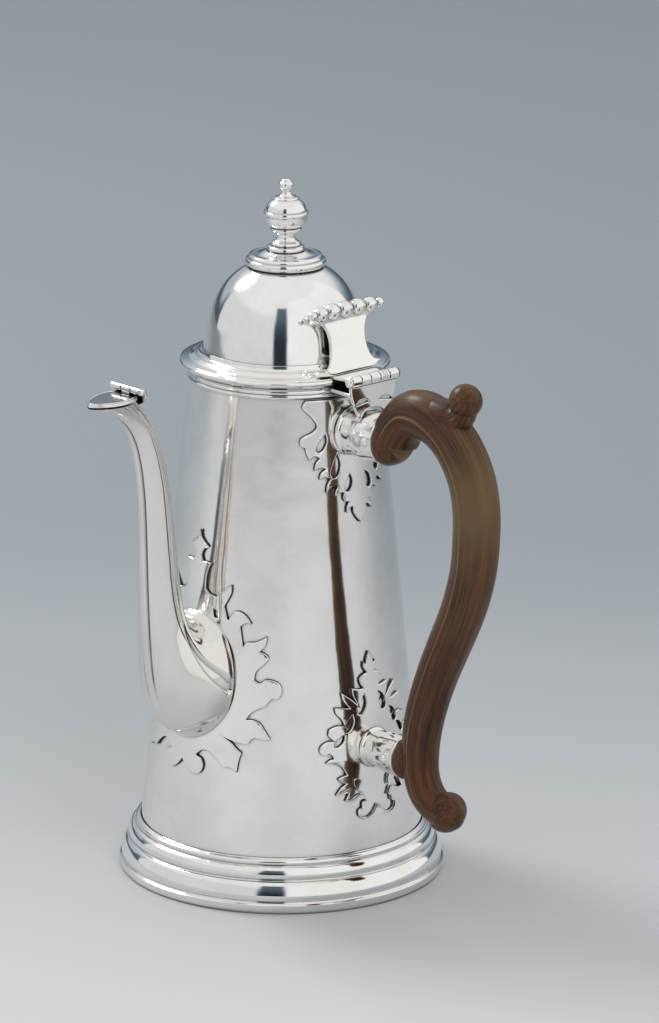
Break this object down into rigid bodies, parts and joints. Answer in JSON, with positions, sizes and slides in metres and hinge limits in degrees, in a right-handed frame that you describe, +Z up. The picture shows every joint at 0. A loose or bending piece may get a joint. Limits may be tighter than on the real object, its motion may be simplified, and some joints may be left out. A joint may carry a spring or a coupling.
{
  "type": "silver coffee pot",
  "caption": "Tapering silver coffee pot with a domed hinged lid and finial, thumbpiece, swan-neck spout with hinged flap, cut-card mounts and a scrolled wooden side handle.",
  "frame": {"origin": "on the body's axis at table level, where the middle of the recessed base plate stands 1.2 mm over the table", "axes": "+Z up along the body's axis; +X towards the handle; -Y towards the spout"},
  "size_m": [0.1653, 0.1513, 0.254],
  "materials": {
    "silver_body": "polished silver, softly worn",
    "silver_foot": "polished silver mouldings",
    "silver_spout": "polished silver, cast",
    "silver_card": "polished silver sheet, pierced",
    "silver_lid": "polished silver, softly worn",
    "silver_finial": "polished silver, turned",
    "silver_flap": "polished silver",
    "silver_fittings": "polished silver, slightly warm in its recesses",
    "handle_wood": "oiled dark fruitwood"
  },
  "bodies": {
    "pot": {"body_shell": "silver_body", "base_plate": "silver_body", "foot_moulding": "silver_foot", "body_rim_moulding": "silver_foot", "spout": "silver_spout", "spout_cut_card": "silver_card", "spout_hinge_bracket": "silver_fittings", "spout_hinge_pin": "silver_fittings", "upper_socket": "silver_fittings", "lower_socket": "silver_fittings", "upper_cut_card": "silver_card", "lower_cut_card": "silver_card", "handle": "handle_wood", "upper_handle_pin": "silver_fittings", "lower_handle_pin": "silver_fittings", "hinge_bracket": "silver_fittings", "lid_hinge_pin": "silver_fittings"},
    "lid": {"lid_hinge_leaf": "silver_fittings", "lid_flange_moulding": "silver_lid", "lid_dome": "silver_lid", "lid_bezel": "silver_lid", "thumbpiece": "silver_fittings", "thumbpiece_beads": "silver_fittings", "finial_disc": "silver_finial", "finial": "silver_finial", "finial_stud": "silver_finial", "finial_nut": "silver_finial"},
    "flap": {"spout_flap": "silver_flap"}
  },
  "joints": [
    {"name": "lid_hinge", "type": "hinge", "parent": "pot", "child": "lid", "pos_m": [0.0451, 0, 0.1903], "axis": [0, 1, 0], "range_deg": [0, 105]},
    {"name": "spout_flap_hinge", "type": "hinge", "parent": "pot", "child": "flap", "pos_m": [0, -0.0746, 0.1904], "axis": [-1, 0, 0], "range_deg": [0, 100]}
  ]
}
